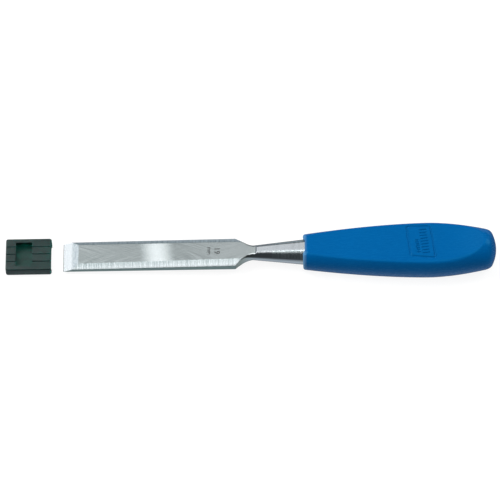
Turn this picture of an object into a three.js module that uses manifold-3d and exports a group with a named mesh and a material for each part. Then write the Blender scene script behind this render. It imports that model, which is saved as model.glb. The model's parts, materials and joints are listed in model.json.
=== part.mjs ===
// A bevel-edge bench chisel with its slip-on blade guard, lying on a bench.
//
// It has three pieces: a forged steel blade (blade, neck, bolster and the tang that runs up inside
// the handle), a moulded plastic handle, and a moulded plastic guard that slides over the edge.
//
// Each piece is made in the tool's own axes, in millimetres: the tool's axis is X, with x = 0 at
// the cutting edge and the handle towards +X, Y runs across the blade, and the bevelled side faces
// +Z. The assembly is then tilted so that it lies on z = 0, as a chisel lies on a bench.
import * as THREE from "three";
import { mergeVertices } from "three/addons/utils/BufferGeometryUtils.js";
import Module from "manifold-3d";

const wasm = await Module();
wasm.setup();

const { clamp, degToRad, lerp, smoothstep } = THREE.MathUtils;

// ---- Driving dimensions, in millimetres ----

const BLADE = {
  width: 19,
  length: 102.2, // from the cutting edge to the shoulders
  backZ: -2.8, // the flat back, below the tool's axis
  topZAtEdge: 1.1, // the ground top face, above the axis, carried on to x = 0
  topZAtShoulder: 3.3,
  landZAtEdge: -0.55, // upper edge of the square side lands, carried on to x = 0
  landZAtShoulder: 1.0,
  topHalfWidthAtEdge: 6.6,
  topHalfWidthAtShoulder: 5.8,
  shoulderBevel: 1.0,
  edgeAngle: degToRad(24),
};

const NECK = {
  x: 112.8, // where the shoulders have run down to the round neck
  radius: 4.32,
  backRunOutX: [107, 120], // the flat back sinks into the bolster's underside over this stretch
  stepX: [114.3, 114.9], // the ground top face ends here, against the start of the bolster
};

const BOLSTER = {
  endX: 144,
  endRadius: 7.65,
  facetHeight: 0.93, // height of the ground facets on its top and underside, as a share of radius
};

const TANG = {
  length: 60,
  rootWidth: 6.4,
  tipWidth: 3.6,
};

const HANDLE = {
  frontX: 142.35, // the foremost line of the rolled front lip
  shoulderX: 143.9, // where the lip meets the barrel
  shoulderRadius: 10.6,
  crestX: 217.5, // the fattest place
  crestRadius: 16.25,
  buttX: 247.2,
  buttRadius: 12.8,
  taperPower: 1.7,
  endX: 256.6,
  cornerRadius: 3,
  domeRadius: 21,
  flatZ: 8.75, // half the thickness across the two grip flats
  flatLipZ: 7.3, // the flats round down to this height at the front lip
  flatLipX: [143.4, 145.9],
  flatRunOutX: [224, 258], // here the flats rise, and narrow towards the butt
  flatRunOutRadius: 100,
};

const GUARD = {
  length: 27.2,
  width: 21.7,
  thickness: 6.4,
  cornerRadius: 1.3,
  edgeRadius: 0.9,
  pocketWidth: 19.6,
  pocketHeight: 4.9,
  pocketDepth: 25.4,
  windowLength: 9.7,
  windowWidth: 16.1,
  windowFromClosedEnd: 5.9,
  grooveWidth: 0.8,
  grooveDepth: 0.3,
  groovePitch: 5.1,
  mouthRelief: 0.5, // the broad walls stop this far short of the side walls
  mouthReliefWidth: 15.4,
  gapToEdge: 6.7, // from the guard's mouth to the cutting edge
};

const CLEARANCE = 0.3; // between pieces that seat against each other
const OVERCUT = 2; // how far a cutting solid runs past what it cuts

// ---- Materials ----

const steel = new THREE.MeshStandardMaterial({ color: 0xb4bfc1, roughness: 0.32, metalness: 1 });
const bluePlastic = new THREE.MeshStandardMaterial({ color: 0x0067a8, roughness: 0.38 });
const greenPlastic = new THREE.MeshStandardMaterial({ color: 0x2d4643, roughness: 0.45 });

// ---- Solids: manifold-3d joins and cuts what three.js geometry makes ----

function toSolid(geometry) {
  const bare = geometry.clone();
  bare.deleteAttribute("normal");
  bare.deleteAttribute("uv");
  const merged = mergeVertices(bare, 1e-4);
  return new wasm.Manifold(
    new wasm.Mesh({
      numProp: 3,
      vertProperties: new Float32Array(merged.attributes.position.array),
      triVerts: new Uint32Array(merged.index.array),
    }),
  );
}

function toGeometry(solid) {
  const mesh = solid.getMesh();
  const geometry = new THREE.BufferGeometry();
  geometry.setAttribute("position", new THREE.BufferAttribute(mesh.vertProperties, 3));
  geometry.setIndex(new THREE.BufferAttribute(mesh.triVerts, 1));
  geometry.computeVertexNormals();
  return geometry;
}

// A box between its lowest and its highest corner.
function box(low, high) {
  const size = high.map((value, axis) => value - low[axis]);
  const centre = high.map((value, axis) => (value + low[axis]) / 2);
  return new THREE.BoxGeometry(...size).translate(...centre);
}

// A closed skin over rings of points, each ring anticlockwise seen from +X, with flat end caps.
function loft(rings) {
  const count = rings[0].length;
  const index = [];
  for (let ring = 0; ring + 1 < rings.length; ring++) {
    for (let k = 0; k < count; k++) {
      const a = ring * count + k;
      const b = ring * count + ((k + 1) % count);
      index.push(a, b, a + count, b, b + count, a + count);
    }
  }
  const last = (rings.length - 1) * count;
  for (let k = 1; k + 1 < count; k++) {
    index.push(0, k + 1, k, last, last + k, last + k + 1);
  }
  const geometry = new THREE.BufferGeometry().setFromPoints(rings.flat());
  geometry.setIndex(index);
  return geometry;
}

// ---- The blade forging ----

const share = (x, [from, to]) => clamp((x - from) / (to - from), 0, 1);
const alongBlade = (x, atEdge, atShoulder) => lerp(atEdge, atShoulder, x / BLADE.length);

// Radius of the round neck, and of the cone that it opens into.
function neckRadius(x) {
  return lerp(NECK.radius, BOLSTER.endRadius, share(x, [NECK.x, BOLSTER.endX]));
}

// Half the width in plan: parallel sides, then shoulders that sweep in to the neck.
function planHalfWidth(x) {
  const flare = BLADE.width / 2 - neckRadius(x);
  return neckRadius(x) + flare * (1 - share(x, [BLADE.length, NECK.x])) ** 2;
}

// Height of the flat on top: the blade's ground face, then a step up to the bolster's facet.
function topZ(x) {
  const ground = alongBlade(Math.min(x, NECK.stepX[0]), BLADE.topZAtEdge, BLADE.topZAtShoulder);
  return lerp(ground, BOLSTER.facetHeight * neckRadius(x), share(x, NECK.stepX));
}

// Height of the flat underneath: the blade's back, then the bolster's lower facet.
function backZ(x) {
  return lerp(BLADE.backZ, -BOLSTER.facetHeight * neckRadius(x), smoothstep(x, ...NECK.backRunOutX));
}

// One cross-section, grown outwards by a clearance. Each side runs from the back flat up to the
// top flat: over the square land and the ground bevel on the blade, round an arc on the neck, and
// from one to the other along the shoulders.
function forgingRing(x, grow = 0) {
  const halfSteps = 6;
  const round = smoothstep(x, BLADE.length, NECK.x);
  const half = planHalfWidth(x) + grow;
  const radius = neckRadius(x) + grow;
  const top = topZ(x) + grow;
  const back = backZ(x) - grow;
  const topHalf = Math.min(
    alongBlade(x, BLADE.topHalfWidthAtEdge, BLADE.topHalfWidthAtShoulder),
    half - BLADE.shoulderBevel,
  );
  const backCorner = new THREE.Vector2(half, back);
  const landCorner = new THREE.Vector2(
    half,
    alongBlade(x, BLADE.landZAtEdge, BLADE.landZAtShoulder),
  );
  const topCorner = new THREE.Vector2(topHalf, top);
  const side = [];
  for (let k = 0; k <= 2 * halfSteps; k++) {
    const ground =
      k < halfSteps
        ? backCorner.clone().lerp(landCorner, k / halfSteps)
        : landCorner.clone().lerp(topCorner, k / halfSteps - 1);
    const angle = lerp(Math.asin(back / radius), Math.asin(top / radius), k / (2 * halfSteps));
    const arc = new THREE.Vector2(half * Math.cos(angle), radius * Math.sin(angle));
    side.push(ground.lerp(arc, round));
  }
  const right = side.map(({ x: y, y: z }) => new THREE.Vector3(x, y, z));
  const left = side.map(({ x: y, y: z }) => new THREE.Vector3(x, -y, z)).reverse();
  return [...right, ...left];
}

// Places along the forging: few on the plane faces, close together where the shape turns.
function forgingStations() {
  const shoulderSteps = 14;
  const stations = [-OVERCUT];
  for (let k = 0; k <= shoulderSteps; k++) {
    stations.push(lerp(BLADE.length, NECK.x, k / shoulderSteps));
  }
  stations.push(...NECK.stepX);
  stations.push(117, NECK.backRunOutX[1], BOLSTER.endX);
  return stations;
}

// Everything above the plane that is ground down to the cutting edge.
function edgeGrind() {
  const reach = 30;
  const above = box([-reach, -reach, 0], [reach, reach, reach]);
  above.rotateY(-BLADE.edgeAngle);
  above.translate(0, 0, BLADE.backZ);
  return toSolid(above);
}

// The square, tapered tang, or the bore for it when it is grown by a clearance.
function tang(grow = 0) {
  const length = TANG.length + grow;
  const bar = new THREE.CylinderGeometry(
    (TANG.tipWidth / 2 + grow) * Math.SQRT2,
    (TANG.rootWidth / 2 + grow) * Math.SQRT2,
    length + OVERCUT,
    4,
  );
  bar.rotateY(Math.PI / 4);
  bar.rotateZ(-Math.PI / 2);
  bar.translate(BOLSTER.endX + (length - OVERCUT) / 2, 0, 0);
  return toSolid(bar);
}

function bladeGeometry() {
  const rings = forgingStations().map((x) => forgingRing(x));
  const forging = toSolid(loft(rings)).subtract(edgeGrind());
  return toGeometry(forging.add(tang()));
}

// ---- The handle ----

// Radius of the barrel, which swells to the crest and falls away on both sides of it.
function barrelRadius(x) {
  const [endX, endRadius] =
    x < HANDLE.crestX
      ? [HANDLE.shoulderX, HANDLE.shoulderRadius]
      : [HANDLE.buttX, HANDLE.buttRadius];
  const fall = Math.abs((x - HANDLE.crestX) / (endX - HANDLE.crestX)) ** HANDLE.taperPower;
  return lerp(HANDLE.crestRadius, endRadius, fall);
}

// Where the domed end stands at a radius.
function domeX(radius) {
  return HANDLE.endX - HANDLE.domeRadius + Math.sqrt(HANDLE.domeRadius ** 2 - radius ** 2);
}

// The rolled lip, from inside the seat out to the barrel, as points of (radius, x).
function lipOutline() {
  const middle = (BOLSTER.endRadius + HANDLE.shoulderRadius) / 2;
  const lip = new THREE.EllipseCurve(
    middle,
    HANDLE.shoulderX,
    HANDLE.shoulderRadius - middle,
    HANDLE.shoulderX - HANDLE.frontX,
    Math.PI,
    2 * Math.PI,
  );
  return lip.getPoints(8);
}

// The barrel from the lip round to the apex of the domed end.
function barrelOutline() {
  const barrelSteps = 20;
  const domeSteps = 3;
  const domeEdge = HANDLE.buttRadius - HANDLE.cornerRadius;
  const cornerX = domeX(HANDLE.buttRadius) + HANDLE.cornerRadius / 4;
  const cornerStartX = cornerX - HANDLE.cornerRadius;
  const outline = [new THREE.Vector2(0, HANDLE.shoulderX), ...lipOutline()];
  for (let k = 1; k <= barrelSteps; k++) {
    const x = lerp(HANDLE.shoulderX, cornerStartX, k / barrelSteps);
    outline.push(new THREE.Vector2(barrelRadius(x), x));
  }
  const corner = new THREE.QuadraticBezierCurve(
    outline.at(-1),
    new THREE.Vector2(barrelRadius(cornerX), cornerX),
    new THREE.Vector2(domeEdge, domeX(domeEdge)),
  );
  outline.push(...corner.getPoints(4).slice(1));
  for (let k = domeSteps - 1; k >= 0; k--) {
    const radius = (domeEdge * k) / domeSteps;
    outline.push(new THREE.Vector2(radius, domeX(radius)));
  }
  return outline;
}

function barrel() {
  const turned = new THREE.LatheGeometry(barrelOutline(), 56);
  turned.rotateZ(-Math.PI / 2);
  return toSolid(turned);
}

// The space between the two grip flats: it opens over the rolled lip, and again at the butt.
function betweenFlats() {
  const [lipX, flatX] = HANDLE.flatLipX;
  const [runOutX, outX] = HANDLE.flatRunOutX;
  const clearZ = 1.5 * HANDLE.crestRadius;
  const lipRound = new THREE.EllipseCurve(
    flatX,
    HANDLE.flatLipZ,
    flatX - lipX,
    HANDLE.flatZ - HANDLE.flatLipZ,
    Math.PI,
    Math.PI / 2,
    true,
  );
  const upper = [new THREE.Vector2(HANDLE.frontX - OVERCUT, HANDLE.flatLipZ)];
  upper.push(...lipRound.getPoints(4));
  const runOutSteps = 8;
  for (let k = 0; k <= runOutSteps; k++) {
    const run = ((outX - runOutX) * k) / runOutSteps;
    const z = HANDLE.flatZ + run ** 2 / (2 * HANDLE.flatRunOutRadius);
    upper.push(new THREE.Vector2(runOutX + run, z));
  }
  upper.push(new THREE.Vector2(outX, clearZ), new THREE.Vector2(HANDLE.endX + OVERCUT, clearZ));
  const lower = upper.map(({ x, y: z }) => new THREE.Vector2(x, -z)).reverse();
  const slab = new THREE.ExtrudeGeometry(new THREE.Shape([...upper, ...lower]), {
    depth: 2 * clearZ,
    bevelEnabled: false,
  });
  slab.translate(0, 0, -clearZ);
  slab.rotateX(Math.PI / 2);
  return toSolid(slab);
}

// The seat that takes the end of the bolster.
function bolsterSeat() {
  const ends = [HANDLE.frontX - OVERCUT, BOLSTER.endX + CLEARANCE];
  return toSolid(loft(ends.map((x) => forgingRing(x, CLEARANCE))));
}

function handleGeometry() {
  const moulding = barrel().intersect(betweenFlats());
  return toGeometry(moulding.subtract(bolsterSeat()).subtract(tang(CLEARANCE)));
}

// ---- The blade guard ----

const guardMouthX = -GUARD.gapToEdge;
const guardEndX = guardMouthX - GUARD.length;
const guardTopZAtEdge = alongBlade(GUARD.pocketDepth, BLADE.topZAtEdge, BLADE.topZAtShoulder);
const guardMidZ = (BLADE.backZ + guardTopZAtEdge) / 2; // level with the middle of the blade
const guardBottomZ = guardMidZ - GUARD.thickness / 2;

function guardCase() {
  const { cornerRadius, edgeRadius } = GUARD;
  const x = GUARD.length / 2 - cornerRadius;
  const y = GUARD.width / 2 - cornerRadius;
  const plan = new THREE.Shape();
  const corners = [
    [x, y],
    [-x, y],
    [-x, -y],
    [x, -y],
  ];
  corners.forEach(([centreX, centreY], quarter) => {
    const start = (quarter * Math.PI) / 2;
    plan.absarc(centreX, centreY, cornerRadius - edgeRadius, start, start + Math.PI / 2);
  });
  const casing = new THREE.ExtrudeGeometry(plan, {
    depth: GUARD.thickness - 2 * edgeRadius,
    bevelThickness: edgeRadius,
    bevelSize: edgeRadius,
    bevelSegments: 3,
    curveSegments: 4,
  });
  casing.translate((guardMouthX + guardEndX) / 2, 0, guardBottomZ + edgeRadius);
  return toSolid(casing);
}

function guardPocket() {
  const y = GUARD.pocketWidth / 2;
  const z = GUARD.pocketHeight / 2;
  const low = [guardMouthX - GUARD.pocketDepth, -y, guardMidZ - z];
  const high = [guardMouthX + OVERCUT, y, guardMidZ + z];
  return toSolid(box(low, high));
}

// The relief that leaves the side walls standing a little proud at the mouth.
function guardMouthRelief() {
  const y = GUARD.mouthReliefWidth / 2;
  const low = [guardMouthX - GUARD.mouthRelief, -y, guardMidZ - GUARD.thickness];
  const high = [guardMouthX + OVERCUT, y, guardMidZ + GUARD.thickness];
  return toSolid(box(low, high));
}

// The opening in the upper wall, through which the cutting edge can be seen.
function guardWindow() {
  const x = guardEndX + GUARD.windowFromClosedEnd;
  const y = GUARD.windowWidth / 2;
  const high = [x + GUARD.windowLength, y, guardMidZ + GUARD.thickness];
  return toSolid(box([x, -y, guardMidZ], high));
}

// A shallow V-shaped groove along one of the broad faces.
function guardGroove(y, face) {
  const half = GUARD.grooveWidth / 2;
  const section = new THREE.Shape();
  section.moveTo(-half, OVERCUT);
  section.lineTo(-half, 0);
  section.lineTo(0, -GUARD.grooveDepth);
  section.lineTo(half, 0);
  section.lineTo(half, OVERCUT);
  const groove = new THREE.ExtrudeGeometry(section, {
    depth: GUARD.length + 2 * OVERCUT,
    bevelEnabled: false,
  });
  groove.rotateX(Math.PI / 2);
  groove.rotateZ(Math.PI / 2);
  groove.rotateX(face > 0 ? 0 : Math.PI);
  groove.translate(guardEndX - OVERCUT, y, guardMidZ + (face * GUARD.thickness) / 2);
  return toSolid(groove);
}

function guardGeometry() {
  let body = guardCase().subtract(guardPocket());
  body = body.subtract(guardMouthRelief()).subtract(guardWindow());
  for (const lane of [-1, 0, 1]) {
    for (const face of [-1, 1]) {
      body = body.subtract(guardGroove(lane * GUARD.groovePitch, face));
    }
  }
  return toGeometry(body);
}

// ---- Assembly ----

function piece(name, geometry, material) {
  const mesh = new THREE.Mesh(geometry, material);
  mesh.name = name;
  return mesh;
}

// The tilt at which the guard's closed end and the fat end of the handle both touch the bench.
function lyingTilt({ attributes: { position } }) {
  let slope = 0;
  for (let k = 0; k < position.count; k++) {
    const drop = guardBottomZ - position.getZ(k);
    slope = Math.max(slope, drop / (position.getX(k) - guardEndX));
  }
  return Math.atan(slope);
}

const handle = piece("handle", handleGeometry(), bluePlastic);
const tool = new THREE.Group();
tool.add(piece("blade", bladeGeometry(), steel));
tool.add(handle);
tool.add(piece("blade_guard", guardGeometry(), greenPlastic));
tool.rotation.y = -lyingTilt(handle.geometry);

// The origin is on the bench, under the middle of the assembly.
const chisel = new THREE.Group();
chisel.add(tool);
chisel.updateMatrixWorld(true);
const bounds = new THREE.Box3().setFromObject(chisel, true);
tool.position.set(-(bounds.min.x + bounds.max.x) / 2, 0, -bounds.min.z);

export default chisel;
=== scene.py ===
"""A bevel-edge bench chisel and its blade guard on a pale studio floor.

The three CAD solids are replaced by fine meshes of the same size. They are made in the tool's own
axes, in millimetres: x runs from the cutting edge to the butt of the handle, y across the blade, and
z out of the bevelled side. TO_ROW puts them where the CAD tool lies.
"""

import json
import math

import bmesh
import bpy
from mathutils import Matrix, Vector


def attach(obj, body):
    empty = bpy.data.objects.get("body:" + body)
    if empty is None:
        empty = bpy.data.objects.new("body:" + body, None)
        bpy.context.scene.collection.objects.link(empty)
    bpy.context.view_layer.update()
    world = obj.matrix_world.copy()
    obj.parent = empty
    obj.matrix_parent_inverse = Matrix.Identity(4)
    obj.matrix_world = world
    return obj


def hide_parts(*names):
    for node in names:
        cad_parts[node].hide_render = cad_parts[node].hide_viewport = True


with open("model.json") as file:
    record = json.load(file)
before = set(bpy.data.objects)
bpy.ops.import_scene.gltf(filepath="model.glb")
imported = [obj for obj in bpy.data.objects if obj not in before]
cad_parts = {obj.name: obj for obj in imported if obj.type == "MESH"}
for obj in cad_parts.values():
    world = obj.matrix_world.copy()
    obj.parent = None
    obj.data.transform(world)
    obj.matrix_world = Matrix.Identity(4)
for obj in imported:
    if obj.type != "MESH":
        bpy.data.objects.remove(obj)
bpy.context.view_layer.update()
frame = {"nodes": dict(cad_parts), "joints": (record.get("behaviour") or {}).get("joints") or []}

MM = 0.001

# ---- Where the tool lies, from the CAD frame ----


def turned_box(node, turn):
    """Lowest and highest corner of a CAD node, in metres, after turning it."""
    points = [turn @ vertex.co for vertex in frame["nodes"][node].data.vertices]
    low = Vector(min(point[axis] for point in points) for axis in range(3))
    high = Vector(max(point[axis] for point in points) for axis in range(3))
    return low, high


slide_axis = Vector(frame["joints"][0]["axis"])  # the guard slides along the tool's own axis
TILT = math.atan2(slide_axis.z, slide_axis.x)
LEVEL = Matrix.Rotation(TILT, 4, "Y")
blade_low, blade_high = turned_box("blade", LEVEL)
ORIGIN = LEVEL.inverted() @ Vector((blade_low.x, 0, (blade_low.z + blade_high.z) / 2))
TO_ROW = Matrix.Translation(ORIGIN) @ LEVEL.inverted() @ Matrix.Scale(MM, 4)


def tool_box(node):
    """Lowest and highest corner of a CAD node in the tool's axes, in millimetres."""
    return turned_box(node, TO_ROW.inverted())


# ---- Driving dimensions, in millimetres in the tool's axes ----

BLADE_LOW, BLADE_HIGH = tool_box("blade")
HANDLE_LOW, HANDLE_HIGH = tool_box("handle")
GUARD_LOW, GUARD_HIGH = tool_box("blade_guard")

BLADE_HALF_WIDTH = BLADE_HIGH.y
BLADE_LENGTH = 102.2
BACK_Z = -2.8
TOP_Z = (1.1, 3.3)  # at the cutting edge and at the shoulders
LAND_Z = (-0.55, 1.0)
TOP_HALF_WIDTH = (6.6, 5.8)
EDGE_ANGLE = math.radians(24)
HONED_ANGLE = math.radians(32)
HONED_LENGTH = 0.35
GROUND_EDGE_RADIUS = 0.12

NECK_X = 112.8
NECK_RADIUS = 4.32
BACK_RUN_OUT_X = (107, 120)
STEP_X = (114.3, 114.9)
SHOULDER_DRAFT = 0.35
BOLSTER_END_X = 144
BOLSTER_END_RADIUS = 7.65
FACET_HEIGHT = 0.93
FACET_EDGE_SETBACK = 0.55
TANG_HALF_WIDTH = (3.2, 1.8)  # at the bolster and at its tip
TANG_CLEARANCE = 0.3

STAMP_DEPTH = 0.12
SIZE_MARK = (91.3, 4.8)  # place along the blade, and height of the figures
UNIT_MARK = (86.8, 3.4)

LIP_X = (HANDLE_LOW.x, HANDLE_LOW.x + 1.55)  # the foremost line of the lip, and its shoulder
LIP_SHOULDER_RADIUS = 10.6
CREST_X = 217.5
CREST_RADIUS = HANDLE_HIGH.y
BUTT_X = 247.2
BUTT_RADIUS = 12.8
TAPER_POWER = 1.7
HANDLE_END_X = HANDLE_HIGH.x - 0.02  # a fine dome stands proud of a faceted one
CORNER_RADIUS = 3
DOME_RADIUS = 21
FLAT_Z = 8.75
FLAT_LIP_Z = 7.3
FLAT_LIP_X = 145.9
FLAT_RUN_OUT_X = 224
FLAT_RUN_OUT_RADIUS = 100
FLAT_EDGE_RADIUS = (2.0, 3.4)  # along the grip, and at the butt
FLAT_EDGE_OPENS_X = (205, 240)
FLAT_FADE = 1.2  # depth below a flat over which its run-in at the lip fades out on the round
LIP_MERGES_X = 150
SEAT_CLEARANCE = 0.12

# ---- Small helpers ----


def lerp(start, end, share):
    return start + (end - start) * share


def share_of(value, low, high):
    return min(max((value - low) / (high - low), 0), 1)


def smoothstep(value, low, high):
    share = share_of(value, low, high)
    return share * share * (3 - 2 * share)


def spaced(start, end, count):
    """Count even steps from start to end, without the start."""
    return [lerp(start, end, k / count) for k in range(1, count + 1)]


def curve_point(start, control, end, share):
    return start.lerp(control, share).lerp(control.lerp(end, share), share)


def piece_from(name, points, faces, materials):
    """An object in the row frame, from points in the tool's axes."""
    mesh = bpy.data.meshes.new(name)
    mesh.from_pydata([TO_ROW @ Vector(point) for point in points], [], faces)
    for material in materials:
        mesh.materials.append(material)
    tidy = bmesh.new()
    tidy.from_mesh(mesh)
    bmesh.ops.remove_doubles(tidy, verts=tidy.verts, dist=0.002 * MM)
    bmesh.ops.recalc_face_normals(tidy, faces=tidy.faces)
    tidy.to_mesh(mesh)
    tidy.free()
    piece = bpy.data.objects.new(name, mesh)
    bpy.context.scene.collection.objects.link(piece)
    return piece


def skin(rings):
    """Points and faces of a closed skin over rings of equal count, with an end cap at each end."""
    count = len(rings[0])
    points = [point for ring in rings for point in ring]
    faces = []
    for ring in range(len(rings) - 1):
        for k in range(count):
            a = ring * count + k
            b = ring * count + (k + 1) % count
            faces.append((a, b, b + count, a + count))
    faces.append(tuple(reversed(range(count))))
    faces.append(tuple(range(len(points) - count, len(points))))
    return points, faces


def smooth_by_angle(piece, degrees):
    """Shades a piece smooth, but for edges over an angle and edges already marked sharp."""
    mesh = piece.data
    marked = [edge.index for edge in mesh.edges if edge.use_edge_sharp]
    mesh.polygons.foreach_set("use_smooth", [True] * len(mesh.polygons))
    mesh.set_sharp_from_angle(angle=math.radians(degrees))
    for index in marked:
        mesh.edges[index].use_edge_sharp = True


def cut(piece, cutters):
    """Cuts the cutters out of a piece, then removes them."""
    for cutter in cutters:
        modifier = piece.modifiers.new("cut", "BOOLEAN")
        modifier.operation = "DIFFERENCE"
        modifier.solver = "EXACT"
        modifier.material_mode = "TRANSFER"
        modifier.object = cutter
    bake_modifiers(piece)
    for cutter in cutters:
        bpy.data.objects.remove(cutter)


def bake_modifiers(piece):
    depsgraph = bpy.context.evaluated_depsgraph_get()
    mesh = bpy.data.meshes.new_from_object(piece.evaluated_get(depsgraph))
    piece.modifiers.clear()
    piece.data = mesh


# ---- Materials ----


class Recipe:
    """A node material under construction."""

    def __init__(self, name):
        self.material = bpy.data.materials.new(name)
        self.material.use_nodes = True
        self.tree = self.material.node_tree
        self.shader = self.tree.nodes["Principled BSDF"]

    def add(self, kind, inputs=None, **settings):
        """A node, with its settings and with its inputs set to values or linked to sockets."""
        node = self.tree.nodes.new(kind)
        for name, value in settings.items():
            setattr(node, name, value)
        for name, value in (inputs or {}).items():
            self.feed(node.inputs[name], value)
        return node

    def feed(self, socket, value):
        if isinstance(value, bpy.types.NodeSocket):
            self.tree.links.new(value, socket)
        else:
            socket.default_value = value

    def set(self, **inputs):
        """Sets inputs of the main shader, with underscores for the spaces in their names."""
        for name, value in inputs.items():
            self.feed(self.shader.inputs[name.replace("_", " ")], value)

    def tool_millimetres(self, scale=(1, 1, 1)):
        """Position in the tool's axes, in millimetres times a scale."""
        place = self.add("ShaderNodeTexCoord").outputs["Object"]
        inputs = {"Vector": place, "Location": ORIGIN, "Rotation": (0, -TILT, 0)}
        inputs["Scale"] = [MM / factor for factor in scale]
        return self.add("ShaderNodeMapping", inputs, vector_type="TEXTURE").outputs["Vector"]

    def noise(self, vector, scale=1.0, detail=2.0, roughness=0.5):
        inputs = {"Vector": vector, "Scale": scale, "Detail": detail, "Roughness": roughness}
        return self.add("ShaderNodeTexNoise", inputs).outputs["Fac"]

    def fit(self, value, low, high, to_low, to_high):
        """Maps a value from one range to another, clamped."""
        inputs = {"Value": value, "From Min": low, "From Max": high}
        inputs.update({"To Min": to_low, "To Max": to_high})
        return self.add("ShaderNodeMapRange", inputs).outputs["Result"]

    def blend(self, share, first, second):
        """A colour between two."""
        node = self.add("ShaderNodeMix", data_type="RGBA")
        self.feed(node.inputs[0], share)
        self.feed(node.inputs[6], first)
        self.feed(node.inputs[7], second)
        return node.outputs[2]

    def math(self, operation, first, second):
        node = self.add("ShaderNodeMath", operation=operation)
        self.feed(node.inputs[0], first)
        self.feed(node.inputs[1], second)
        return node.outputs[0]

    def bump(self, height, distance, strength=1.0, under=None):
        """A bump of that many metres, on top of another."""
        inputs = {"Height": height, "Distance": distance, "Strength": strength}
        if under:
            inputs["Normal"] = under
        return self.add("ShaderNodeBump", inputs).outputs["Normal"]


def ground_steel():
    """The blade's top face and back: the fine arcs that a cup wheel leaves as it travels along,
    and a slight dish where it dwelt. The face is painted lighter towards the shoulders, a painted
    sheen, and across the dish, a painted highlight."""
    recipe = Recipe("ground_steel")
    wheel_radius, wheel_side = 75, 67
    dish_x, dish_height = (45, 67), 1.0
    place = recipe.tool_millimetres()
    axes = recipe.add("ShaderNodeSeparateXYZ", {"Vector": place}).outputs
    x, y = axes["X"], axes["Y"]
    from_hub = recipe.math("ADD", y, wheel_side)
    square = recipe.math("SUBTRACT", wheel_radius**2, recipe.math("MULTIPLY", from_hub, from_hub))
    reach = recipe.math("SQRT", recipe.math("MAXIMUM", square, 0.0), 0.0)
    leading = recipe.math("SUBTRACT", x, reach)
    trailing = recipe.math("ADD", x, recipe.math("MULTIPLY", reach, 1.6))
    arcs = []
    for sweep in (leading, trailing):
        inputs = {"X": recipe.math("MULTIPLY", sweep, 1.1), "Y": recipe.math("MULTIPLY", y, 0.1)}
        vector = recipe.add("ShaderNodeCombineXYZ", inputs).outputs["Vector"]
        arcs.append(recipe.noise(vector, detail=4, roughness=0.7))
    which = recipe.fit(recipe.noise(place, scale=0.03), 0.42, 0.58, 0.0, 1.0)
    lines = recipe.add("ShaderNodeMix", {"Factor": which, "A": arcs[0], "B": arcs[1]}).outputs["Result"]
    # Painted sheen: the top face is painted lighter over its last stretch towards the shoulders.
    painted_shading_along = recipe.fit(x, 70.0, BLADE_LENGTH, 0.0, 0.13)
    tone = recipe.fit(recipe.math("ADD", lines, painted_shading_along), 0.36, 0.64, 0.0, 1.0)
    ground = recipe.blend(tone, (0.37, 0.425, 0.425, 1), (0.58, 0.635, 0.64, 1))
    roughness = recipe.fit(lines, 0.3, 0.7, 0.15, 0.22)
    skewed = recipe.math("ADD", x, recipe.math("MULTIPLY", y, 0.12))
    inputs = {"Value": skewed, "From Min": dish_x[0], "From Max": dish_x[1]}
    dish = recipe.add("ShaderNodeMapRange", inputs, interpolation_type="SMOOTHSTEP").outputs["Result"]
    rest_of_dish = recipe.math("SUBTRACT", 1.0, dish)
    # Painted highlight: a lighter band of colour across the middle of the dish, on top of the dish's
    # real bump.
    dish_highlight = recipe.math("MULTIPLY", recipe.math("MULTIPLY", dish, rest_of_dish), 4.0)
    colour = recipe.blend(dish_highlight, ground, (0.66, 0.71, 0.72, 1))
    dished = recipe.bump(dish, dish_height * MM)
    normal = recipe.bump(lines, 0.018 * MM, 0.8, under=dished)
    recipe.set(Base_Color=colour, Metallic=1.0, Roughness=roughness, Normal=normal)
    return recipe.material


def bevel_steel():
    """The side bevels: coarser grinding marks that run straight up the slope."""
    recipe = Recipe("bevel_steel")
    marks = recipe.noise(recipe.tool_millimetres((3.6, 0.08, 0.08)), detail=5, roughness=0.75)
    place = recipe.add("ShaderNodeSeparateXYZ", {"Vector": recipe.tool_millimetres()}).outputs
    outwards = recipe.math("ABSOLUTE", place["Y"], 0.0)
    # Painted shading: each bevel is painted darker near the top face and lighter out towards the blade's
    # side, and darker near the cutting edge than at the shoulders.
    painted_shading = recipe.fit(outwards, TOP_HALF_WIDTH[1], BLADE_HALF_WIDTH, -0.10, 0.08)
    painted_shading_along = recipe.fit(place["X"], 0.0, BLADE_LENGTH, -0.07, 0.03)
    height = recipe.math("ADD", marks, recipe.math("ADD", painted_shading, painted_shading_along))
    tone = recipe.fit(height, 0.36, 0.64, 0.0, 1.0)
    colour = recipe.blend(tone, (0.38, 0.44, 0.45, 1), (0.78, 0.84, 0.86, 1))
    roughness = recipe.fit(marks, 0.3, 0.7, 0.16, 0.26)
    normal = recipe.bump(marks, 0.02 * MM, 0.35)
    recipe.set(Base_Color=colour, Metallic=1.0, Roughness=roughness, Normal=normal)
    return recipe.material


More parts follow.
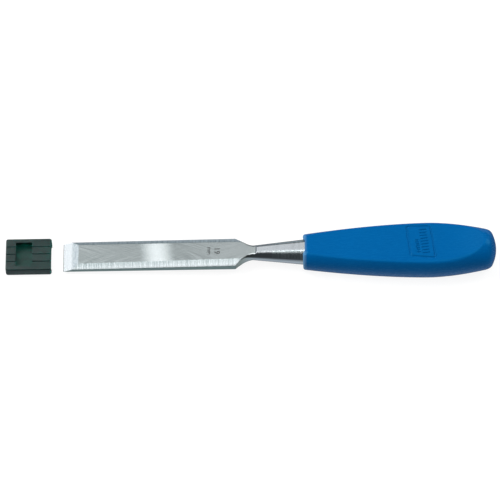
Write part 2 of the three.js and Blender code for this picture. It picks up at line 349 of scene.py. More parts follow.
def edge_steel():
    """The cutting bevel, ground parallel with the edge and honed along it. Beyond the honed band it is
    painted darker, a painted shade over the cross-hatched grinding.
    """
    recipe = Recipe("edge_steel")
    place = recipe.tool_millimetres()
    marks = recipe.noise(recipe.tool_millimetres((5, 0.3, 5)), detail=4, roughness=0.65)
    hatching = recipe.noise(recipe.tool_millimetres((1.2, 1.6, 1.2)), detail=4, roughness=0.7)
    x = recipe.add("ShaderNodeSeparateXYZ", {"Vector": place}).outputs["X"]
    unhoned = recipe.fit(recipe.math("ADD", x, hatching), 5.2, 6.6, 0.0, 1.0)
    # Painted shade: the cross-hatched part beyond the honed band is painted darker, over a real change
    # of finish.
    painted_shading = recipe.math("MULTIPLY", unhoned, recipe.fit(hatching, 0.35, 0.65, 0.2, 1.0))
    colour = recipe.blend(painted_shading, (0.76, 0.81, 0.84, 1), (0.38, 0.45, 0.49, 1))
    normal = recipe.bump(marks, 0.008 * MM, 0.3)
    recipe.set(Base_Color=colour, Metallic=1.0, Roughness=0.2, Normal=normal)
    return recipe.material


def polished_steel():
    """The neck and bolster: bright, with the faint ripple of hand polishing. The sides of the
    shoulders are painted dark, a painted shade that fades out towards the neck."""
    recipe = Recipe("polished_steel")
    ripple = recipe.noise(recipe.tool_millimetres((0.3, 0.12, 0.3)), detail=1)
    haze = recipe.noise(recipe.tool_millimetres((2, 2, 2)), detail=4)
    roughness = recipe.fit(haze, 0.3, 0.7, 0.09, 0.16)
    normal = recipe.bump(ripple, 0.05 * MM, 0.5)
    bright = recipe.blend(haze, (0.40, 0.43, 0.455, 1), (0.47, 0.50, 0.525, 1))
    place = recipe.add("ShaderNodeSeparateXYZ", {"Vector": recipe.tool_millimetres()}).outputs
    # Painted shade: a dark olive on the sides of the shoulders, giving way to bright steel towards the
    # neck.
    unshaded = recipe.fit(place["X"], BLADE_LENGTH + 3, NECK_X + 2, 0.0, 1.0)
    colour = recipe.blend(unshaded, (0.28, 0.31, 0.28, 1), bright)
    recipe.set(Base_Color=colour, Metallic=1.0, Roughness=roughness, Normal=normal)
    return recipe.material


def stamped_steel():
    """The floor of the stamped size mark, dark with scale."""
    recipe = Recipe("stamped_steel")
    grain = recipe.noise(recipe.tool_millimetres(), scale=3)
    colour = recipe.blend(grain, (0.04, 0.045, 0.045, 1), (0.11, 0.12, 0.12, 1))
    recipe.set(Base_Color=colour, Metallic=0.6, Roughness=0.6)
    return recipe.material


def blue_plastic():
    """The handle: satin, a little cloudy, and painted lighter round the lip, a painted highlight."""
    recipe = Recipe("blue_plastic")
    cloud = recipe.noise(recipe.tool_millimetres(), scale=0.05, detail=2)
    grain = recipe.noise(recipe.tool_millimetres(), scale=2.5, detail=3)
    scuff = recipe.noise(recipe.tool_millimetres((0.15, 1, 1)), scale=1.5, detail=5, roughness=0.7)
    body = recipe.blend(cloud, (0.0, 0.071, 0.228, 1), (0.0, 0.079, 0.248, 1))
    place = recipe.add("ShaderNodeSeparateXYZ", {"Vector": recipe.tool_millimetres()}).outputs
    # Painted highlight: the rolled lip is painted a lighter blue.
    lip_highlight = recipe.fit(place["X"], LIP_X[0] + 0.3, LIP_X[1] + 0.9, 0.9, 0.0)
    colour = recipe.blend(lip_highlight, body, (0.09, 0.21, 0.36, 1))
    roughness = recipe.fit(scuff, 0.35, 0.75, 0.22, 0.34)
    normal = recipe.bump(grain, 0.006 * MM, 0.5)
    recipe.set(Base_Color=colour, Roughness=roughness, Normal=normal)
    recipe.set(Specular_Tint=(0.1, 0.8, 1.0, 1), Specular_IOR_Level=0.14)
    return recipe.material


def green_plastic():
    """The guard: waxy, so that a little light soaks through its thin walls."""
    recipe = Recipe("green_plastic")
    cloud = recipe.noise(recipe.tool_millimetres(), scale=0.15, detail=3)
    grain = recipe.noise(recipe.tool_millimetres(), scale=3, detail=3)
    colour = recipe.blend(cloud, (0.001, 0.014, 0.0128, 1), (0.002, 0.0185, 0.0168, 1))
    roughness = recipe.fit(cloud, 0.3, 0.7, 0.36, 0.48)
    normal = recipe.bump(grain, 0.02 * MM, 0.5)
    recipe.set(Base_Color=colour, Roughness=roughness, Normal=normal, Specular_IOR_Level=0.38)
    recipe.set(Subsurface_Weight=0.7, Subsurface_Scale=4 * MM, Subsurface_Radius=(0.2, 1, 0.9))
    return recipe.material


def side_steel():
    """The narrow sides of the blade: as forged, only brushed over."""
    recipe = Recipe("side_steel")
    marks = recipe.noise(recipe.tool_millimetres((0.3, 4, 4)), detail=5, roughness=0.7)
    tone = recipe.fit(marks, 0.3, 0.7, 0.0, 1.0)
    colour = recipe.blend(tone, (0.14, 0.19, 0.18, 1), (0.24, 0.30, 0.285, 1))
    normal = recipe.bump(marks, 0.01 * MM, 0.5)
    recipe.set(Base_Color=colour, Metallic=1.0, Roughness=0.3, Normal=normal)
    return recipe.material


def light_table():
    """The floor: a pale sheet, lit evenly from below so that shadows stay faint."""
    recipe = Recipe("light_table")
    fibre = recipe.noise(recipe.tool_millimetres(), scale=0.3, detail=4)
    colour = recipe.blend(fibre, (0.11, 0.11, 0.11, 1), (0.13, 0.13, 0.13, 1))
    recipe.set(Base_Color=colour, Roughness=0.9, Specular_IOR_Level=0.0)
    recipe.set(Emission_Color=(1, 1, 1, 1), Emission_Strength=0.9)
    return recipe.material


# ---- The blade forging ----

GROUND, BEVEL, EDGE, POLISHED, SIDE = range(5)  # places of the finishes in the forging's list


def along_blade(x, edge_and_shoulder):
    return lerp(*edge_and_shoulder, x / BLADE_LENGTH)


def neck_radius(x):
    """Radius of the round neck, and of the cone that it opens into."""
    return lerp(NECK_RADIUS, BOLSTER_END_RADIUS, share_of(x, NECK_X, BOLSTER_END_X))


def plan_half_width(x):
    """Half the width seen from above: parallel sides, then shoulders that sweep in to the neck."""
    flare = BLADE_HALF_WIDTH - neck_radius(x)
    return neck_radius(x) + flare * (1 - share_of(x, BLADE_LENGTH, NECK_X)) ** 2


def top_z(x):
    """Height of the flat on top: the ground face, then a step up to the bolster's facet."""
    ground = along_blade(min(x, STEP_X[0]), TOP_Z)
    return lerp(ground, FACET_HEIGHT * neck_radius(x), share_of(x, *STEP_X))


def back_z(x):
    """Height of the flat underneath: the blade's back, then the bolster's lower facet."""
    return lerp(BACK_Z, -FACET_HEIGHT * neck_radius(x), smoothstep(x, *BACK_RUN_OUT_X))


def rounded_corner(before, corner, after, radius, steps=4):
    """Points that cut a corner, leaving both of its sides at a tangent."""
    back, on = before - corner, after - corner
    half_turn = (math.pi - back.angle(on, math.pi)) / 2
    setback = min(radius * math.tan(half_turn), 0.45 * back.length, 0.45 * on.length)
    start = corner + back.normalized() * setback
    end = corner + on.normalized() * setback
    return [curve_point(start, corner, end, k / steps) for k in range(steps + 1)]


def between(start, end, count):
    """Count points between two, without the ends."""
    return [start.lerp(end, k / (count + 1)) for k in range(1, count + 1)]


def ground_half(x):
    """Half a section of the ground blade, as (y, z), from the middle of the back to the middle of
    the top. Past the shoulders its bevel is cut off by the shoulder's steep wall."""
    half = plan_half_width(x)
    top, back = top_z(x), back_z(x)
    top_half = along_blade(x, TOP_HALF_WIDTH)
    cut_away = share_of(half, BLADE_HALF_WIDTH, top_half)
    land = lerp(along_blade(x, LAND_Z), top, cut_away)
    draft = SHOULDER_DRAFT * smoothstep(x, BLADE_LENGTH, NECK_X)
    centre_back, centre_top = Vector((0, back)), Vector((0, top))
    back_corner = Vector((half, back))
    land_corner = Vector((half - draft, land))
    top_corner = Vector((min(top_half, half - draft), top))
    first = rounded_corner(centre_back, back_corner, land_corner, GROUND_EDGE_RADIUS)
    second = rounded_corner(back_corner, land_corner, top_corner, GROUND_EDGE_RADIUS)
    third = rounded_corner(land_corner, top_corner, centre_top, GROUND_EDGE_RADIUS)
    points = [centre_back, centre_back.lerp(first[0], 0.5), *first]
    points += [*between(first[-1], second[0], 2), *second, *between(second[-1], third[0], 2)]
    points += [*third, centre_top.lerp(third[-1], 0.5), centre_top]
    return points


def neck_half(x):
    """Half a section of the neck or bolster, point for point with ground_half: an arc between two
    flats, with the edges of the flats polished round."""
    half, radius = plan_half_width(x), neck_radius(x)
    top, back = top_z(x), back_z(x)

    def on_arc(angle):
        return Vector((half * math.cos(angle), radius * math.sin(angle)))

    low, high = math.asin(back / radius), math.asin(top / radius)
    setback = FACET_EDGE_SETBACK
    turn = setback / radius
    centre_back, centre_top = Vector((0, back)), Vector((0, top))
    back_edge, top_edge = on_arc(low), on_arc(high)
    inward = Vector((setback, 0))
    first = [
        curve_point(back_edge - inward, back_edge, on_arc(low + turn), k / 4) for k in range(5)
    ]
    arc = [on_arc(lerp(low + turn, high - turn, k / 10)) for k in range(1, 10)]
    third = [
        curve_point(on_arc(high - turn), top_edge, top_edge - inward, k / 4) for k in range(5)
    ]
    points = [centre_back, centre_back.lerp(first[0], 0.5), *first, *arc]
    points += [*third, centre_top.lerp(third[-1], 0.5), centre_top]
    return points


def ring_of(x, half_section):
    """A whole ring at x, from half a section that starts and ends in the middle."""
    right = [(x, point.x, point.y) for point in half_section]
    left = [(x, -point.x, point.y) for point in reversed(half_section[1:-1])]
    return right + left


def forging_ring(x):
    turned = smoothstep(x, BLADE_LENGTH + 2, NECK_X + 1)
    pairs = zip(ground_half(x), neck_half(x))
    return ring_of(x, [ground.lerp(neck, turned) for ground, neck in pairs])


def tang_ring(x, half_width):
    """A square ring, point for point with the others."""
    section = []
    for point in neck_half(BOLSTER_END_X):
        section.append(point * half_width / max(abs(point.x), abs(point.y)))
    return ring_of(x, section)


def forging_stations():
    stations = [-2, *spaced(-2, BLADE_LENGTH, 18)]
    stations += spaced(BLADE_LENGTH, STEP_X[0], 44)
    stations += spaced(*STEP_X, 4)
    stations += spaced(STEP_X[1], BACK_RUN_OUT_X[1], 10)
    stations += spaced(BACK_RUN_OUT_X[1], BOLSTER_END_X, 12)
    return stations


def grind(piece, x, z, angle, material_index):
    """Takes off everything above a plane that rises from (x, z) at an angle, and faces the cut."""
    mesh = bmesh.new()
    mesh.from_mesh(piece.data)
    point = TO_ROW @ Vector((x, 0, z))
    normal = (TO_ROW.to_3x3() @ Vector((-math.sin(angle), 0, math.cos(angle)))).normalized()
    geometry = [*mesh.verts, *mesh.edges, *mesh.faces]
    bmesh.ops.bisect_plane(
        mesh, geom=geometry, plane_co=point, plane_no=normal, clear_outer=True, dist=1e-7
    )
    rim = [edge for edge in mesh.edges if edge.is_boundary]
    for face in bmesh.ops.holes_fill(mesh, edges=rim)["faces"]:
        face.material_index = material_index
        for edge in face.edges:
            edge.smooth = False
    bmesh.ops.recalc_face_normals(mesh, faces=mesh.faces)
    mesh.to_mesh(piece.data)
    mesh.free()


def finish_forging_faces(piece):
    """Gives each face the finish that its place on the forging has."""
    to_tool = TO_ROW.inverted()
    turn = to_tool.to_3x3()
    for face in piece.data.polygons:
        centre = to_tool @ face.center
        normal = (turn @ face.normal).normalized()
        slope = math.degrees(math.acos(max(-1, min(1, normal.z))))
        on_shoulder = centre.x > BLADE_LENGTH + 0.2
        has_bevel = plan_half_width(centre.x) > along_blade(centre.x, TOP_HALF_WIDTH)
        if centre.x < STEP_X[0] and not 5 < slope < 175:
            face.material_index = GROUND
        elif has_bevel and 15 < slope < 60:
            face.material_index = BEVEL
        elif on_shoulder:
            face.material_index = POLISHED
        else:
            face.material_index = SIDE


def stamp(words, x, height, material):
    """Plain lettering across the blade at x, as a solid to cut out of it."""
    tall = 1.0
    text = bpy.data.curves.new("stamp", "FONT")
    text.body = words
    text.size = height
    text.align_x = "CENTER"
    text.align_y = "CENTER"
    text.extrude = tall
    text.offset = 0.05
    text.resolution_u = 3
    maker = bpy.data.objects.new("stamp_text", text)
    bpy.context.scene.collection.objects.link(maker)
    depsgraph = bpy.context.evaluated_depsgraph_get()
    mesh = bpy.data.meshes.new_from_object(maker.evaluated_get(depsgraph))
    bpy.data.objects.remove(maker)
    rise = math.atan((TOP_Z[1] - TOP_Z[0]) / BLADE_LENGTH)
    place = Matrix.Translation((x, 0, top_z(x) - STAMP_DEPTH + tall))
    turn = Matrix.Rotation(-rise, 4, "Y") @ Matrix.Rotation(-math.pi / 2, 4, "Z")
    mesh.transform(TO_ROW @ place @ turn)
    welded = bmesh.new()
    welded.from_mesh(mesh)
    bmesh.ops.remove_doubles(welded, verts=welded.verts, dist=1e-7)
    welded.to_mesh(mesh)
    welded.free()
    mesh.materials.clear()
    mesh.materials.append(material)
    cutter = bpy.data.objects.new("stamp", mesh)
    bpy.context.scene.collection.objects.link(cutter)
    return cutter


def blade_forging():
    rings = [forging_ring(x) for x in forging_stations()]
    rings.append(tang_ring(BOLSTER_END_X, TANG_HALF_WIDTH[0]))
    rings.append(tang_ring(BLADE_HIGH.x, TANG_HALF_WIDTH[1]))
    finishes = [ground_steel(), bevel_steel(), edge_steel(), polished_steel(), side_steel()]
    piece = piece_from("blade_forging", *skin(rings), finishes)
    finish_forging_faces(piece)
    grind(piece, 0, BACK_Z, EDGE_ANGLE, EDGE)
    rise = HONED_LENGTH * math.tan(EDGE_ANGLE)
    run = rise / math.tan(HONED_ANGLE)
    grind(piece, HONED_LENGTH - run, BACK_Z, HONED_ANGLE, EDGE)
    mark = stamped_steel()
    size = str(round(2 * BLADE_HALF_WIDTH))
    cut(piece, [stamp(size, *SIZE_MARK, mark), stamp("mm", *UNIT_MARK, mark)])
    smooth_by_angle(piece, 18)
    return piece


# ---- The handle ----


def barrel_radius(x):
    """Radius of the barrel, which swells to the crest and falls away on both sides of it."""
    end_x, end_radius = (LIP_X[1], LIP_SHOULDER_RADIUS) if x < CREST_X else (BUTT_X, BUTT_RADIUS)
    fall = abs((x - CREST_X) / (end_x - CREST_X)) ** TAPER_POWER
    return lerp(CREST_RADIUS, end_radius, fall)


def dome_x(radius):
    return HANDLE_END_X - DOME_RADIUS + math.sqrt(DOME_RADIUS**2 - radius**2)


def butt_corner_x():
    """Where barrel and dome would meet in a corner, and where the barrel starts to round into it."""
    corner_x = dome_x(BUTT_RADIUS) + CORNER_RADIUS / 4
    return corner_x, corner_x - CORNER_RADIUS


def flat_z(x):
    """Height of the grip flats, which rise and so narrow towards the butt."""
    return FLAT_Z + max(x - FLAT_RUN_OUT_X, 0) ** 2 / (2 * FLAT_RUN_OUT_RADIUS)


def flat_edge_radius(x):
    """Radius that rounds off the edges of the flats."""
    return lerp(*FLAT_EDGE_RADIUS, smoothstep(x, *FLAT_EDGE_OPENS_X))


def flatted_radius(angle, radius, flat, edge_radius):
    """Distance from the axis, at an angle from the vertical, of a round with two flats and with
    the edges of its flats rounded."""
    lean = abs(math.cos(angle))
    across = abs(math.sin(angle))
    if flat >= radius:
        return radius
    centre_z = flat - edge_radius
    centre_y = math.sqrt((radius - edge_radius) ** 2 - centre_z**2)
    if across * flat <= lean * centre_y:
        return flat / lean
    if across * centre_z >= lean * centre_y:
        return radius
    along = centre_y * across + centre_z * lean
    return along + math.sqrt(along**2 - centre_y**2 - centre_z**2 + edge_radius**2)


def quarter_angles(radius, flat, edge_radius, on_flat, on_edge=14, on_round=14):
    """Angles from the vertical to the side, spaced to follow the flat and its rounded edge."""
    least_flat, least_edge = 0.3, 0.05
    centre_z = flat - edge_radius
    centre_y = math.sqrt(max((radius - edge_radius) ** 2 - centre_z**2, 0))
    flat_end = max(math.atan2(centre_y, flat), least_flat)
    edge_end = max(math.atan2(centre_y, centre_z), flat_end + least_edge)
    reach = math.tan(flat_end)
    angles = [math.atan(reach * k / on_flat) for k in range(on_flat)]
    angles += [lerp(flat_end, edge_end, k / on_edge) for k in range(on_edge)]
    angles += [lerp(edge_end, math.pi / 2, k / on_round) for k in range(on_round)]
    return angles


def ring_angles(radius, flat, edge_radius):
    """All the way round, closely spaced on the upper flat, which carries the panel."""
    upper = quarter_angles(radius, flat, edge_radius, on_flat=84)
    lower = quarter_angles(radius, flat, edge_radius, on_flat=12)
    right = upper + [math.pi / 2] + [math.pi - angle for angle in reversed(lower)]
    left = [2 * math.pi - angle for angle in reversed(right[1:-1])]
    return right + left


PANEL_CORNERS = ((203.7, 11.2), (217.8, 11.2), (220.8, -10.7), (206.1, -9.1))
PANEL_CORNER_RADIUS = 1.6
PANEL_LINE = 0.9
PANEL_DEPTH = 0.55
PANEL_SOFTNESS = 0.6
# A row of ribs has a place across the panel, a half length, a pitch, and its first and last rib.
RIB_ROWS = ((-2.1, 0.8, 1.4, -5, 1), (2.2, 2.0, 2.0, -4, 4))
RIB_HALF_WIDTH = 0.25


def rounded_polygon_distance(point, corners, radius):
    """Distance outside (or, below zero, inside) of a convex outline with rounded corners, given
    clockwise. Near enough to the corners it is the distance from the arc's own centre."""
    reaches = []
    for start, end in zip(corners, [*corners[1:], corners[0]]):
        along = (end - start).normalized()
        outwards = Vector((-along.y, along.x))
        reaches.append(outwards.dot(point - start) + radius)
    reaches.sort()
    nearest, next_nearest = reaches[-1], reaches[-2]
    if next_nearest > 0:
        return math.hypot(nearest, next_nearest) - radius
    return nearest - radius


def panel_relief(x, y):
    """How far the plain panel is sunk in: a frame around two rows of short ribs."""
    corners = [Vector(corner) for corner in PANEL_CORNERS]
    if not PANEL_CORNERS[0][0] - 1 < x < PANEL_CORNERS[2][0] + 1:
        return 0
    point = Vector((x, y))
    centre = sum(corners, Vector((0, 0))) / len(corners)
    upright = (corners[0] + corners[1] - corners[2] - corners[3]).normalized()
    place = point - centre
    up, across = place.dot(upright), place.dot(Vector((upright.y, -upright.x)))
    line = abs(rounded_polygon_distance(point, corners, PANEL_CORNER_RADIUS)) - PANEL_LINE / 2
    for row, half_length, pitch, first, last in RIB_ROWS:
        rib = pitch * max(first, min(last, round(up / pitch)))
        past_end = max(abs(across - row) - half_length, 0)
        line = min(line, math.hypot(past_end, up - rib) - RIB_HALF_WIDTH)
    return -PANEL_DEPTH * (1 - smoothstep(line, -PANEL_SOFTNESS / 2, PANEL_SOFTNESS / 2))


def handle_ring(x, radius, flat, angles, flat_x=None):
    """A ring of the handle. flat_x is where the ring stands on the flats, if not at x."""
    ring = []
    flat_x = x if flat_x is None else flat_x
    for angle in angles:
        reach = flatted_radius(angle, radius, flat, flat_edge_radius(x))
        y, z = reach * math.sin(angle), reach * math.cos(angle)
        on_round = 1 - smoothstep(abs(z), flat - FLAT_FADE, flat) if flat < radius else 1
        here = lerp(flat_x, x, on_round)
        on_upper_flat = z > flat - 0.01
        if on_upper_flat:
            z += panel_relief(here, y)
        ring.append((here, y, z))
    return ring


def lip_rings(angles):
    """The rolled lip, from the seat's mouth out to the barrel."""
    steps = 16
    inner = BOLSTER_END_RADIUS + SEAT_CLEARANCE
    middle = (inner + LIP_SHOULDER_RADIUS) / 2
    rings = []
    for k in range(steps + 1):
        turn = math.pi * (1 - k / steps)
        radius = middle + (LIP_SHOULDER_RADIUS - middle) * math.cos(turn)
        x = lerp(LIP_X[1], LIP_X[0], math.sin(turn))
        rise = math.sin(math.pi / 2 * k / steps)
        flat = lerp(FLAT_LIP_Z, FLAT_Z, rise)
        flat_x = lerp(LIP_X[1] - 0.5, FLAT_LIP_X, 1 - math.cos(math.pi / 2 * k / steps))
        rings.append(handle_ring(x, radius, flat, angles, flat_x))
    return rings


def seat_rings(angles):
    """The seat for the bolster and the bore for the tang, from the bottom of the bore outwards."""
    rings = []
    wide, narrow = TANG_HALF_WIDTH
    bottom_x, seat_x = BLADE_HIGH.x + TANG_CLEARANCE, BOLSTER_END_X + TANG_CLEARANCE
    for x, half in ((bottom_x, narrow), (seat_x, wide)):
        ring = []
        for angle in angles:
            reach = (half + TANG_CLEARANCE) / max(abs(math.sin(angle)), abs(math.cos(angle)))
            ring.append((x, reach * math.sin(angle), reach * math.cos(angle)))
        rings.append(ring)
    mouth_x = LIP_X[1] + 0.05
    for x in (seat_x, mouth_x):
        radius = neck_radius(x) + SEAT_CLEARANCE
        flat = FACET_HEIGHT * neck_radius(x) + SEAT_CLEARANCE
        ring = []
        for angle in angles:
            reach = flatted_radius(angle, radius, flat, FACET_EDGE_SETBACK)
            ring.append((x, reach * math.sin(angle), reach * math.cos(angle)))
        rings.append(ring)
    return rings


def barrel_stations():
    panel_start = PANEL_CORNERS[0][0] - 1
    panel_end = PANEL_CORNERS[2][0] + 1
    _, corner_start = butt_corner_x()
    stations = spaced(LIP_X[1], LIP_MERGES_X, 12)
    stations += spaced(LIP_MERGES_X, panel_start, 40)
    stations += spaced(panel_start, panel_end, 124)
    stations += spaced(panel_end, corner_start, 26)
    return stations


def butt_rings(angles):
    """The rounded corner at the butt and the domed end."""
    corner_x, start_x = butt_corner_x()
    dome_edge = BUTT_RADIUS - CORNER_RADIUS
    start = Vector((start_x, barrel_radius(start_x)))
    control = Vector((corner_x, barrel_radius(corner_x)))
    end = Vector((dome_x(dome_edge), dome_edge))
    steps, last_radius = 12, 0.3
    outline = [curve_point(start, control, end, k / steps) for k in range(1, steps + 1)]
    outline += [Vector((dome_x(radius), radius)) for radius in spaced(dome_edge, last_radius, steps)]
    return [handle_ring(x, radius, flat_z(x), angles) for x, radius in outline]


def handle_moulding():
    front = ring_angles(LIP_SHOULDER_RADIUS, FLAT_Z, FLAT_EDGE_RADIUS[0])
    rings = seat_rings(front) + lip_rings(front)
    for x in barrel_stations():
        radius, flat = barrel_radius(x), flat_z(x)
        flat_x = max(x, lerp(FLAT_LIP_X, LIP_MERGES_X, share_of(x, LIP_X[1], LIP_MERGES_X)))
        angles = ring_angles(radius, min(flat, radius), flat_edge_radius(x))
        rings.append(handle_ring(x, radius, flat, angles, flat_x))
    rings += butt_rings(angles)
    piece = piece_from("handle_moulding", *skin(rings), [blue_plastic()])
    smooth_by_angle(piece, 40)
    return piece


# ---- The blade guard ----

GUARD_CORNER = 1.3
GUARD_EDGE = 0.9
GUARD_MID_Z = (GUARD_LOW.z + GUARD_HIGH.z) / 2
GUARD_WALL = 0.75
GUARD_SIDE_WALL = 1.05
POCKET_DEPTH = 25.4
WINDOW_X = GUARD_LOW.x + 5.9
WINDOW_LENGTH = 9.7
WINDOW_WIDTH = 16.1
GROOVE_PITCH = 5.1
GROOVE_WIDTH = 0.7
GROOVE_DEPTH = 0.42
MOUTH_RELIEF = 0.5
MOUTH_RELIEF_WIDTH = 15.4
MOULDED_EDGE = 0.14
OVERCUT = 2


def rounded_plan(inset, z):
    """The guard's outline at a height, drawn in by an inset."""
    radius = GUARD_CORNER - inset
    x_middle, x_reach = (GUARD_LOW.x + GUARD_HIGH.x) / 2, (GUARD_HIGH.x - GUARD_LOW.x) / 2
    x_centre, y_centre = x_reach - GUARD_CORNER, GUARD_HIGH.y - GUARD_CORNER
    ring = []
    steps = 6
    for quarter, (side_x, side_y) in enumerate(((1, 1), (-1, 1), (-1, -1), (1, -1))):
        for k in range(steps + 1):
            turn = (quarter + k / steps) * math.pi / 2
            x = x_middle + side_x * x_centre + radius * math.cos(turn)
            ring.append((x, side_y * y_centre + radius * math.sin(turn), z))
    return ring


def guard_case():
    rings = []
    steps = 6
    for end, sign in ((GUARD_LOW.z, 1), (GUARD_HIGH.z, -1)):
        edge = []
        for k in range(steps + 1):
            turn = k / steps * math.pi / 2
            inset = GUARD_EDGE * (1 - math.sin(turn))
            edge.append(rounded_plan(inset, end + sign * GUARD_EDGE * (1 - math.cos(turn))))
        rings += edge if sign > 0 else reversed(edge)
    return skin(rings)


def block(name, low, high):
    """A box-shaped cutter."""
    points = [(x, y, z) for x in (low[0], high[0]) for y in (low[1], high[1]) for z in (low[2], high[2])]
    faces = [(0, 1, 3, 2), (4, 6, 7, 5), (0, 4, 5, 1), (2, 3, 7, 6), (0, 2, 6, 4), (1, 5, 7, 3)]
    return piece_from(name, points, faces, [])


def groove(y, face):
    """A shallow V along one of the guard's broad faces, as a cutter."""
    surface = GUARD_HIGH.z if face > 0 else GUARD_LOW.z
    section = [(-GROOVE_WIDTH / 2, 0), (0, -GROOVE_DEPTH), (GROOVE_WIDTH / 2, 0)]
    section += [(GROOVE_WIDTH / 2, 1), (-GROOVE_WIDTH / 2, 1)]
    rings = []
    for x in (GUARD_LOW.x - OVERCUT, GUARD_HIGH.x + OVERCUT):
        rings.append([(x, y + across, surface + face * rise) for across, rise in section])
    return piece_from("groove", *skin(rings), [])


def guard_cutters():
    pocket_y = GUARD_HIGH.y - GUARD_SIDE_WALL
    window_y = WINDOW_WIDTH / 2
    relief_y = MOUTH_RELIEF_WIDTH / 2
    mouth = GUARD_HIGH.x
    below, above = GUARD_LOW.z - OVERCUT, GUARD_HIGH.z + OVERCUT
    cutters = [
        block(
            "pocket",
            (mouth - POCKET_DEPTH, -pocket_y, GUARD_LOW.z + GUARD_WALL),
            (mouth + OVERCUT, pocket_y, GUARD_HIGH.z - GUARD_WALL),
        ),
        block("window", (WINDOW_X, -window_y, GUARD_MID_Z), (WINDOW_X + WINDOW_LENGTH, window_y, above)),
        block("relief", (mouth - MOUTH_RELIEF, -relief_y, below), (mouth + OVERCUT, relief_y, above)),
    ]
    for lane in (-1, 0, 1):
        cutters += [groove(lane * GROOVE_PITCH, face) for face in (-1, 1)]
    return cutters


def guard_moulding():
    piece = piece_from("guard_moulding", *guard_case(), [green_plastic()])
    cut(piece, guard_cutters())
    bevel = piece.modifiers.new("moulded_edges", "BEVEL")
    bevel.width = MOULDED_EDGE * MM
    bevel.segments = 2
    bevel.limit_method = "ANGLE"
    bevel.angle_limit = math.radians(35)
    bevel.harden_normals = False
    bake_modifiers(piece)
    smooth_by_angle(piece, 40)
    return piece


# ---- The studio ----


def floor():
    half = 8.0
    mesh = bpy.data.meshes.new("floor")
    corners = [(-half, -half, 0), (half, -half, 0), (half, half, 0), (-half, half, 0)]
    mesh.from_pydata(corners, [], [(0, 1, 2, 3)])
    mesh.materials.append(light_table())
    plane = bpy.data.objects.new("floor", mesh)
    plane.visible_glossy = False  # reflections see the world's own dimmer ground instead
    bpy.context.scene.collection.objects.link(plane)


def soft_light(name, direction, distance, size, radiance):
    """A rectangular lamp that faces the middle of the tool, its first side lying along the tool.
    The camera doesn't see it."""
    data = bpy.data.lights.new(name, "AREA")
    data.shape = "RECTANGLE"
    data.size, data.size_y = size
    data.energy = radiance * math.pi * size[0] * size[1]
    lamp = bpy.data.objects.new(name, data)
    towards = Vector(direction).normalized()
    across = towards.cross(Vector((1, 0, 0))).normalized()
    turn = Matrix((across.cross(towards), across, towards)).transposed()
    lamp.matrix_world = Matrix.Translation(towards * distance) @ turn.to_4x4()
    lamp.visible_camera = False
    bpy.context.scene.collection.objects.link(lamp)


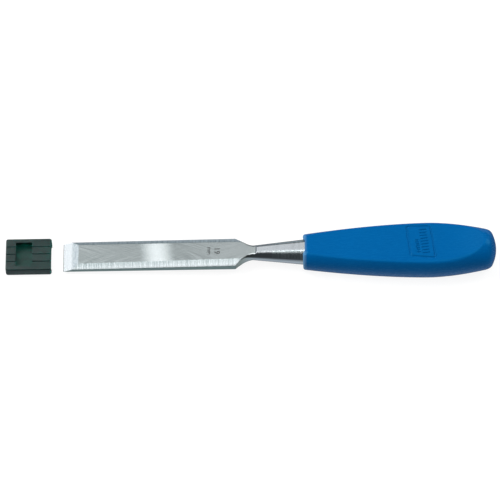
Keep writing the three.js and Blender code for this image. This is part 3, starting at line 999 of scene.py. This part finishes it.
def studio_world():
    """What reflections see around the lamps and in place of the lit sheet, as radiance against the
    angle round the tool's length: 0 is level behind the tool, 90 overhead, 180 level in front."""
    lit_sheet = ((-160, 0.10), (-145, 0.5), (-122, 0.8), (-100, 0.7), (-85, 0.3), (-58, 0.1))
    behind = ((-30, 0.16), (-12, 0.45), (0, 0.5), (15, 0.2), (35, 0.08))
    tint = (0.88, 0.98, 1.06)
    sky = bpy.data.worlds.new("studio")
    sky.use_nodes = True
    tree = sky.node_tree
    direction = tree.nodes.new("ShaderNodeTexCoord").outputs["Generated"]
    axes = tree.nodes.new("ShaderNodeSeparateXYZ")
    angle = tree.nodes.new("ShaderNodeMath")
    angle.operation = "ARCTAN2"
    share = tree.nodes.new("ShaderNodeMapRange")
    share.inputs["From Min"].default_value = -math.pi
    share.inputs["From Max"].default_value = math.pi
    ramp = tree.nodes.new("ShaderNodeValToRGB")
    ramp.color_ramp.elements.remove(ramp.color_ramp.elements[1])
    for degrees, radiance in ((-180, 0.07), *lit_sheet, *behind, (180, 0.07)):
        stop = ramp.color_ramp.elements.new((degrees + 180) / 360)
        stop.color = (*[radiance * channel for channel in tint], 1)
    ramp.color_ramp.elements.remove(ramp.color_ramp.elements[0])
    tree.links.new(direction, axes.inputs[0])
    tree.links.new(axes.outputs["Z"], angle.inputs[0])
    tree.links.new(axes.outputs["Y"], angle.inputs[1])
    tree.links.new(angle.outputs[0], share.inputs["Value"])
    tree.links.new(share.outputs["Result"], ramp.inputs["Fac"])
    tree.links.new(ramp.outputs["Color"], tree.nodes["Background"].inputs["Color"])
    bpy.context.scene.world = sky


def camera():
    """A long lens, 58 degrees above the floor, aimed just above the tool's axis at the neck."""
    elevation = math.radians(58)
    view_width, lens, sensor = 0.2962, 384, 36
    neck_x, above_axis = 110.9, 1.72
    up = Vector((0, math.sin(elevation), math.cos(elevation)))
    back = Vector((0, -math.cos(elevation), math.sin(elevation)))
    aim = TO_ROW @ Vector((neck_x, 0, 0)) + up * above_axis * MM
    data = bpy.data.cameras.new("camera")
    data.lens, data.sensor_width = lens, sensor
    data.clip_end = 50
    seer = bpy.data.objects.new("camera", data)
    seer.location = aim + back * view_width * lens / sensor
    seer.rotation_euler = back.to_track_quat("Z", "Y").to_euler()
    bpy.context.scene.collection.objects.link(seer)
    bpy.context.scene.camera = seer


camera()
floor()
soft_light("overhead", (0, -0.156, 0.988), 2.8, (1.5, 3.1), 1.3)
soft_light("back_panel", (0.177, 0.545, 0.819), 3.0, (2.2, 1.24), 0.55)
soft_light("left_panel", (-0.48, 0.473, 0.739), 3.0, (1.98, 2.0), 1.25)
soft_light("edge_strip", (0, -0.2, 0.98), 2.6, (1.5, 0.55), 3.2)
soft_light("left_key", (-0.61, 0.13, 0.78), 2.4, (1.2, 1.2), 12)
soft_light("front_left", (-0.8, -0.45, 0.4), 2.6, (0.9, 0.9), 1.0)
soft_light("front_right", (0.8, -0.45, 0.4), 2.6, (0.9, 0.9), 0.8)
soft_light("right_key", (0.65, 0.27, 0.71), 2.4, (1.5, 1.2), 5.6)
studio_world()
bpy.context.scene.view_settings.view_transform = "Standard"

for piece, body, node, slot in (
    (blade_forging(), "chisel", "blade", "steel"),
    (handle_moulding(), "chisel", "handle", "handle_plastic"),
    (guard_moulding(), "guard", "blade_guard", "guard_plastic"),
):
    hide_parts(node)
    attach(piece, body)
